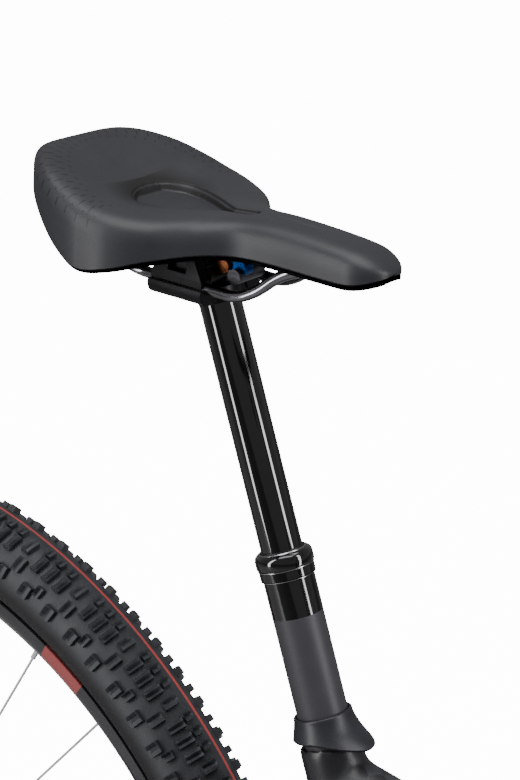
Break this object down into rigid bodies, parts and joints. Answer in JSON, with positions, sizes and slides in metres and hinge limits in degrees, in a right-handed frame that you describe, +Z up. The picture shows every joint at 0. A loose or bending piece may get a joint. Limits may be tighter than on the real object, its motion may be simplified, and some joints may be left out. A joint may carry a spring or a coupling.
{
  "type": "mountain bike",
  "caption": "Hardtail mountain bike with a carbon frame, suspension fork, disc brakes, wide knobbly tyres and a dropper seat post.",
  "frame": {"origin": "on the ground, halfway between the two axles, in the middle plane", "axes": "+X forward, +Y to the rider's left, +Z up"},
  "size_m": [1.8979, 0.7702, 1.027],
  "materials": {
    "carbon": "satin clear coat over carbon fibre",
    "cover_rubber": "satin moulded",
    "tyre": "matte",
    "rim": "satin black",
    "spoke_steel": "polished",
    "black_anodised": "satin anodised",
    "slider_black": "gloss hard anodised",
    "fork_paint": "gloss painted",
    "disc_steel": "ground",
    "drive_steel": "nickel plated",
    "chain_steel": "nickel plated",
    "bearing_steel": "ground",
    "bolt_steel": "satin",
    "rail_steel": "satin",
    "bar_carbon": "satin",
    "shell_plastic": "moulded",
    "saddle_skin": "fine grained cover",
    "grip_rubber": "matte",
    "hose": "matte",
    "dial_blue": "anodised"
  },
  "bodies": {
    "frame": {"frame": "carbon", "top_tube": "carbon", "rear_stays": "carbon", "seat_clamp_cover": "cover_rubber", "frame_bearings": "bearing_steel", "rear_axle": "black_anodised", "dropper_outer_tube": "black_anodised", "dropper_collar": "black_anodised", "rear_caliper": "black_anodised", "rear_cables": "hose", "derailleur_base": "black_anodised", "chain": "chain_steel"},
    "saddle": {"dropper_stanchion": "slider_black", "seat_head": "black_anodised", "rail_clamp": "black_anodised", "saddle_rails": "rail_steel", "saddle_shell": "shell_plastic", "saddle_cover": "saddle_skin"},
    "steering": {"crown_and_steerer": "fork_paint", "fork_stanchions": "slider_black", "headset_cover": "black_anodised", "stem": "black_anodised", "stem_faceplate": "black_anodised", "stem_bolts": "bolt_steel", "handlebar": "bar_carbon", "grips": "grip_rubber", "brake_bodies": "black_anodised", "dropper_remote_body": "shell_plastic", "shifter_body": "shell_plastic", "control_cables": "hose", "front_brake_hose": "hose"},
    "fork_legs": {"fork_lowers": "fork_paint", "front_axle": "black_anodised", "front_caliper": "black_anodised"},
    "front_wheel": {"front_rim": "rim", "front_tyre": "tyre", "front_spokes": "spoke_steel", "front_hub": "black_anodised", "front_rotor": "disc_steel"},
    "rear_wheel": {"rear_rim": "rim", "rear_tyre": "tyre", "rear_spokes": "spoke_steel", "rear_hub": "black_anodised", "rear_rotor": "disc_steel"},
    "cassette": {"cassette": "drive_steel"},
    "crank": {"crankset": "black_anodised", "chainring": "black_anodised"},
    "left_pedal": {"left_pedal": "black_anodised"},
    "right_pedal": {"right_pedal": "black_anodised"},
    "left_lever": {"left_brake_lever": "black_anodised"},
    "right_lever": {"right_brake_lever": "black_anodised"},
    "dropper_lever": {"dropper_paddle": "shell_plastic"},
    "shift_lever": {"shift_paddle": "shell_plastic"},
    "release_lever": {"release_paddle": "shell_plastic"},
    "compression_dial": {"compression_dial": "dial_blue"},
    "linkage": {"derailleur_linkage": "black_anodised"},
    "knuckle": {"derailleur_knuckle": "black_anodised"},
    "cage": {"derailleur_cage": "black_anodised"},
    "guide_pulley": {"guide_pulley": "shell_plastic"},
    "tension_pulley": {"tension_pulley": "shell_plastic"}
  },
  "joints": [
    {"name": "steering_turn", "type": "hinge", "parent": "frame", "child": "steering", "pos_m": [0.33729, 0, 0.83997], "axis": [-0.3827, 0, 0.9239], "range_deg": [-75, 75]},
    {"name": "fork_travel", "type": "slide", "parent": "steering", "child": "fork_legs", "axis": [-0.3827, 0, 0.9239], "range_m": [0, 0.11], "stiffness_N_per_m": 6000, "springref_m": -0.03, "deforming": ["front_brake_hose"]},
    {"name": "front_wheel_spin", "type": "hinge", "parent": "fork_legs", "child": "front_wheel", "pos_m": [0.58, 0, 0.369], "axis": [0, 1, 0], "continuous": true},
    {"name": "rear_wheel_spin", "type": "hinge", "parent": "frame", "child": "rear_wheel", "pos_m": [-0.58, 0, 0.369], "axis": [0, 1, 0], "continuous": true},
    {"name": "crank_spin", "type": "hinge", "parent": "frame", "child": "crank", "pos_m": [-0.14384, 0, 0.311], "axis": [0, 1, 0], "continuous": true, "deforming": ["chain"]},
    {"name": "cassette_spin", "type": "hinge", "parent": "frame", "child": "cassette", "pos_m": [-0.58, 0, 0.369], "axis": [0, 1, 0], "continuous": true},
    {"name": "left_pedal_spin", "type": "hinge", "parent": "crank", "child": "left_pedal", "pos_m": [-0.31384, 0.135, 0.311], "axis": [0, 1, 0], "continuous": true},
    {"name": "right_pedal_spin", "type": "hinge", "parent": "crank", "child": "right_pedal", "pos_m": [0.02616, -0.135, 0.311], "axis": [0, 1, 0], "continuous": true},
    {"name": "saddle_drop", "type": "slide", "parent": "frame", "child": "saddle", "axis": [0.3156, 0, -0.9489], "range_m": [0, 0.14], "stiffness_N_per_m": 300, "springref_m": -0.5},
    {"name": "left_lever_pull", "type": "hinge", "parent": "steering", "child": "left_lever", "pos_m": [0.35816, 0.2454, 1.00459], "axis": [-0.3827, 0, 0.9239], "range_deg": [0, 24], "stiffness_Nm_per_rad": 0.6, "springref_deg": -17.19},
    {"name": "right_lever_pull", "type": "hinge", "parent": "steering", "child": "right_lever", "pos_m": [0.35816, -0.2454, 1.00459], "axis": [-0.3827, 0, 0.9239], "range_deg": [-24, 0], "stiffness_Nm_per_rad": 0.6, "springref_deg": 17.19},
    {"name": "dropper_lever_press", "type": "hinge", "parent": "steering", "child": "dropper_lever", "pos_m": [0.33709, 0.19561, 0.97944], "axis": [-0.3827, 0, 0.9239], "range_deg": [-20, 0], "stiffness_Nm_per_rad": 0.4, "springref_deg": 17.19},
    {"name": "shift_lever_press", "type": "hinge", "parent": "steering", "child": "shift_lever", "pos_m": [0.34353, -0.19561, 0.96912], "axis": [-0.3827, 0, 0.9239], "range_deg": [0, 25], "stiffness_Nm_per_rad": 0.4, "springref_deg": -17.19},
    {"name": "release_lever_press", "type": "hinge", "parent": "steering", "child": "release_lever", "pos_m": [0.34353, -0.19561, 0.96912], "axis": [-0.3827, 0, 0.9239], "range_deg": [-20, 0], "stiffness_Nm_per_rad": 0.4, "springref_deg": 17.19},
    {"name": "compression_dial_turn", "type": "hinge", "parent": "steering", "child": "compression_dial", "pos_m": [0.3724, -0.066, 0.85451], "axis": [-0.3827, 0, 0.9239], "range_deg": [0, 90]},
    {"name": "derailleur_shift", "type": "hinge", "parent": "frame", "child": "linkage", "pos_m": [-0.588, -0.098, 0.337], "axis": [0.9532, 0, 0.3024], "range_deg": [-9, 11], "deforming": ["chain"]},
    {"name": "knuckle_level", "type": "hinge", "parent": "linkage", "child": "knuckle", "pos_m": [-0.557, -0.078, 0.253], "axis": [0.9532, 0, 0.3024], "range_deg": [-11, 9], "deforming": ["chain"]},
    {"name": "cage_swing", "type": "hinge", "parent": "knuckle", "child": "cage", "pos_m": [-0.555, -0.0515, 0.233], "axis": [0, 1, 0], "range_deg": [-35, 0], "stiffness_Nm_per_rad": 0.8, "springref_deg": 34.38, "deforming": ["chain"]},
    {"name": "guide_pulley_spin", "type": "hinge", "parent": "cage", "child": "guide_pulley", "pos_m": [-0.555, -0.0515, 0.233], "axis": [0, 1, 0], "continuous": true},
    {"name": "tension_pulley_spin", "type": "hinge", "parent": "cage", "child": "tension_pulley", "pos_m": [-0.5157, -0.0515, 0.14871], "axis": [0, 1, 0], "continuous": true}
  ],
  "couplings": [
    {"joint": "cassette_spin", "follows": "crank_spin", "ratio": 1.5238},
    {"joint": "guide_pulley_spin", "follows": "crank_spin", "ratio": -2.6667},
    {"joint": "tension_pulley_spin", "follows": "crank_spin", "ratio": 2.2857},
    {"joint": "knuckle_level", "follows": "derailleur_shift", "ratio": -1}
  ]
}
